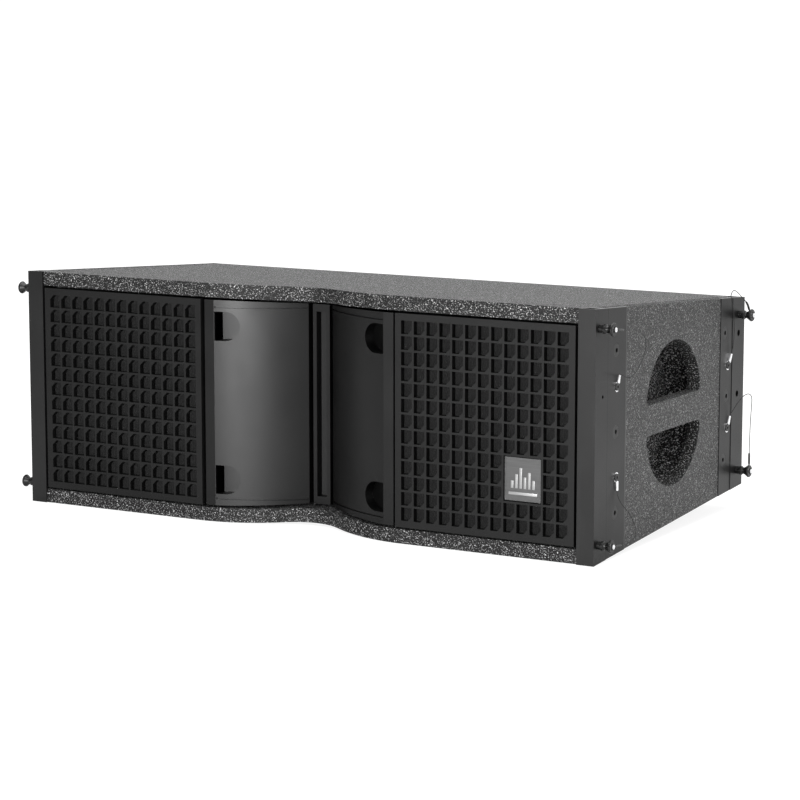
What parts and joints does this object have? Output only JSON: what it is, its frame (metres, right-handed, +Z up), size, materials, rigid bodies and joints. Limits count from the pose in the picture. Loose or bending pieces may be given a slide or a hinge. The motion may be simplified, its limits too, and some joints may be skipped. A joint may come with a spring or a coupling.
{
  "type": "line array speaker",
  "caption": "Wedge-shaped loudspeaker cabinet with square-hole grilles, a slot horn in a V-shaped mouth, handles, and rigging rails with pull-out pins at its corners.",
  "frame": {"origin": "on the ground under the middle of the cabinet", "axes": "+X to the cabinet's right side seen from the front, along its long way; grilles face -Y; +Z up"},
  "size_m": [0.8704, 0.436, 0.306],
  "materials": {
    "cabinet_board": "textured matt black paint on plywood",
    "inner_board": "matt black paint on plywood",
    "horn_moulding": "fine satin",
    "grille_moulding": "fine matt",
    "rail_coat": "black powder coat",
    "cast_frame": "black paint",
    "magnet_steel": "black paint",
    "cone_paper": "treated paper",
    "surround_rubber": "matt",
    "cup_moulding": "coarse matt",
    "diaphragm_metal": "satin",
    "foam": "open foam",
    "acoustic_cloth": "black open weave",
    "badge_plate": "satin",
    "socket_moulding": "satin",
    "circuit_board": "satin",
    "dark_screws": "black oxide",
    "plated_terminal": "bright plating",
    "link_steel": "black oxide",
    "black_pin": "satin black",
    "chrome_button": "bright plating",
    "lanyard_wire": "stranded wire"
  },
  "bodies": {
    "cabinet": {"top_panel": "cabinet_board", "bottom_panel": "cabinet_board", "side_panel_left": "cabinet_board", "side_panel_right": "cabinet_board", "rear_panel": "cabinet_board", "woofer_baffle_left": "inner_board", "horn_flare_left": "horn_moulding", "grille_left": "grille_moulding", "rail_front_left": "rail_coat", "rail_rear_left": "rail_coat", "woofer_frame_left": "cast_frame", "woofer_motor_left": "magnet_steel", "woofer_suspension_left": "surround_rubber", "handle_cup_left": "cup_moulding", "woofer_baffle_right": "inner_board", "horn_flare_right": "horn_moulding", "grille_right": "grille_moulding", "rail_front_right": "rail_coat", "rail_rear_right": "rail_coat", "woofer_frame_right": "cast_frame", "woofer_motor_right": "magnet_steel", "woofer_suspension_right": "surround_rubber", "handle_cup_right": "cup_moulding", "slot_frame": "horn_moulding", "slot_cloth": "acoustic_cloth", "hf_waveguide": "horn_moulding", "hf_driver": "magnet_steel", "grille_foam": "foam", "badge": "badge_plate", "input_plate": "rail_coat", "input_sockets": "socket_moulding", "crossover": "circuit_board", "screws": "dark_screws", "ring_terminals": "plated_terminal", "lanyard_front_upper": "lanyard_wire", "lanyard_front_lower": "lanyard_wire", "lanyard_rear_upper": "lanyard_wire", "lanyard_rear_lower": "lanyard_wire"},
    "link_bar_front_left_body": {"link_bar_front_left": "link_steel"},
    "pin_front_lower_left_body": {"pin_front_lower_left": "black_pin"},
    "button_front_lower_left_body": {"button_front_lower_left": "chrome_button"},
    "pin_front_upper_left_body": {"pin_front_upper_left": "black_pin"},
    "button_front_upper_left_body": {"button_front_upper_left": "chrome_button"},
    "link_bar_front_right_body": {"link_bar_front_right": "link_steel"},
    "pin_front_lower_right_body": {"pin_front_lower_right": "black_pin"},
    "button_front_lower_right_body": {"button_front_lower_right": "chrome_button"},
    "pin_front_upper_right_body": {"pin_front_upper_right": "black_pin"},
    "button_front_upper_right_body": {"button_front_upper_right": "chrome_button"},
    "link_bar_rear_left_body": {"link_bar_rear_left": "link_steel"},
    "pin_rear_lower_left_body": {"pin_rear_lower_left": "black_pin"},
    "button_rear_lower_left_body": {"button_rear_lower_left": "chrome_button"},
    "pin_rear_upper_left_body": {"pin_rear_upper_left": "black_pin"},
    "button_rear_upper_left_body": {"button_rear_upper_left": "chrome_button"},
    "link_bar_rear_right_body": {"link_bar_rear_right": "link_steel"},
    "pin_rear_lower_right_body": {"pin_rear_lower_right": "black_pin"},
    "button_rear_lower_right_body": {"button_rear_lower_right": "chrome_button"},
    "pin_rear_upper_right_body": {"pin_rear_upper_right": "black_pin"},
    "button_rear_upper_right_body": {"button_rear_upper_right": "chrome_button"},
    "woofer_cone_left_body": {"woofer_cone_left": "cone_paper"},
    "woofer_cone_right_body": {"woofer_cone_right": "cone_paper"},
    "hf_diaphragm_body": {"hf_diaphragm": "diaphragm_metal"}
  },
  "joints": [
    {"name": "link_bar_front_left_slide", "type": "slide", "parent": "cabinet", "child": "link_bar_front_left_body", "axis": [0, 0, 1], "range_m": [0, 0.036]},
    {"name": "pin_front_lower_left_pull", "type": "slide", "parent": "cabinet", "child": "pin_front_lower_left_body", "axis": [-1, 0, 0], "range_m": [0, 0.045]},
    {"name": "button_front_lower_left_press", "type": "slide", "parent": "pin_front_lower_left_body", "child": "button_front_lower_left_body", "axis": [1, 0, 0], "range_m": [0, 0.003], "stiffness_N_per_m": 600},
    {"name": "pin_front_upper_left_pull", "type": "slide", "parent": "cabinet", "child": "pin_front_upper_left_body", "axis": [-1, 0, 0], "range_m": [0, 0.045]},
    {"name": "button_front_upper_left_press", "type": "slide", "parent": "pin_front_upper_left_body", "child": "button_front_upper_left_body", "axis": [1, 0, 0], "range_m": [0, 0.003], "stiffness_N_per_m": 600},
    {"name": "link_bar_front_right_slide", "type": "slide", "parent": "cabinet", "child": "link_bar_front_right_body", "axis": [0, 0, 1], "range_m": [0, 0.036]},
    {"name": "pin_front_lower_right_pull", "type": "slide", "parent": "cabinet", "child": "pin_front_lower_right_body", "axis": [1, 0, 0], "range_m": [0, 0.045]},
    {"name": "button_front_lower_right_press", "type": "slide", "parent": "pin_front_lower_right_body", "child": "button_front_lower_right_body", "axis": [-1, 0, 0], "range_m": [0, 0.003], "stiffness_N_per_m": 600},
    {"name": "pin_front_upper_right_pull", "type": "slide", "parent": "cabinet", "child": "pin_front_upper_right_body", "axis": [1, 0, 0], "range_m": [0, 0.045]},
    {"name": "button_front_upper_right_press", "type": "slide", "parent": "pin_front_upper_right_body", "child": "button_front_upper_right_body", "axis": [-1, 0, 0], "range_m": [0, 0.003], "stiffness_N_per_m": 600},
    {"name": "link_bar_rear_left_slide", "type": "slide", "parent": "cabinet", "child": "link_bar_rear_left_body", "axis": [0, 0, 1], "range_m": [0, 0.036]},
    {"name": "pin_rear_lower_left_pull", "type": "slide", "parent": "cabinet", "child": "pin_rear_lower_left_body", "axis": [-1, 0, 0], "range_m": [0, 0.045]},
    {"name": "button_rear_lower_left_press", "type": "slide", "parent": "pin_rear_lower_left_body", "child": "button_rear_lower_left_body", "axis": [1, 0, 0], "range_m": [0, 0.003], "stiffness_N_per_m": 600},
    {"name": "pin_rear_upper_left_pull", "type": "slide", "parent": "cabinet", "child": "pin_rear_upper_left_body", "axis": [-1, 0, 0], "range_m": [0, 0.045]},
    {"name": "button_rear_upper_left_press", "type": "slide", "parent": "pin_rear_upper_left_body", "child": "button_rear_upper_left_body", "axis": [1, 0, 0], "range_m": [0, 0.003], "stiffness_N_per_m": 600},
    {"name": "link_bar_rear_right_slide", "type": "slide", "parent": "cabinet", "child": "link_bar_rear_right_body", "axis": [0, 0, 1], "range_m": [0, 0.036]},
    {"name": "pin_rear_lower_right_pull", "type": "slide", "parent": "cabinet", "child": "pin_rear_lower_right_body", "axis": [1, 0, 0], "range_m": [0, 0.045]},
    {"name": "button_rear_lower_right_press", "type": "slide", "parent": "pin_rear_lower_right_body", "child": "button_rear_lower_right_body", "axis": [-1, 0, 0], "range_m": [0, 0.003], "stiffness_N_per_m": 600},
    {"name": "pin_rear_upper_right_pull", "type": "slide", "parent": "cabinet", "child": "pin_rear_upper_right_body", "axis": [1, 0, 0], "range_m": [0, 0.045]},
    {"name": "button_rear_upper_right_press", "type": "slide", "parent": "pin_rear_upper_right_body", "child": "button_rear_upper_right_body", "axis": [-1, 0, 0], "range_m": [0, 0.003], "stiffness_N_per_m": 600},
    {"name": "woofer_cone_left_travel", "type": "slide", "parent": "cabinet", "child": "woofer_cone_left_body", "axis": [-0.2079, 0.9781, 0], "range_m": [-0.005, 0.005], "stiffness_N_per_m": 4000, "deforming": ["woofer_suspension_left"]},
    {"name": "woofer_cone_right_travel", "type": "slide", "parent": "cabinet", "child": "woofer_cone_right_body", "axis": [0.2079, 0.9781, 0], "range_m": [-0.005, 0.005], "stiffness_N_per_m": 4000, "deforming": ["woofer_suspension_right"]},
    {"name": "hf_diaphragm_travel", "type": "slide", "parent": "cabinet", "child": "hf_diaphragm_body", "axis": [0, 1, 0], "range_m": [-0.0004, 0.0004], "stiffness_N_per_m": 2000}
  ]
}
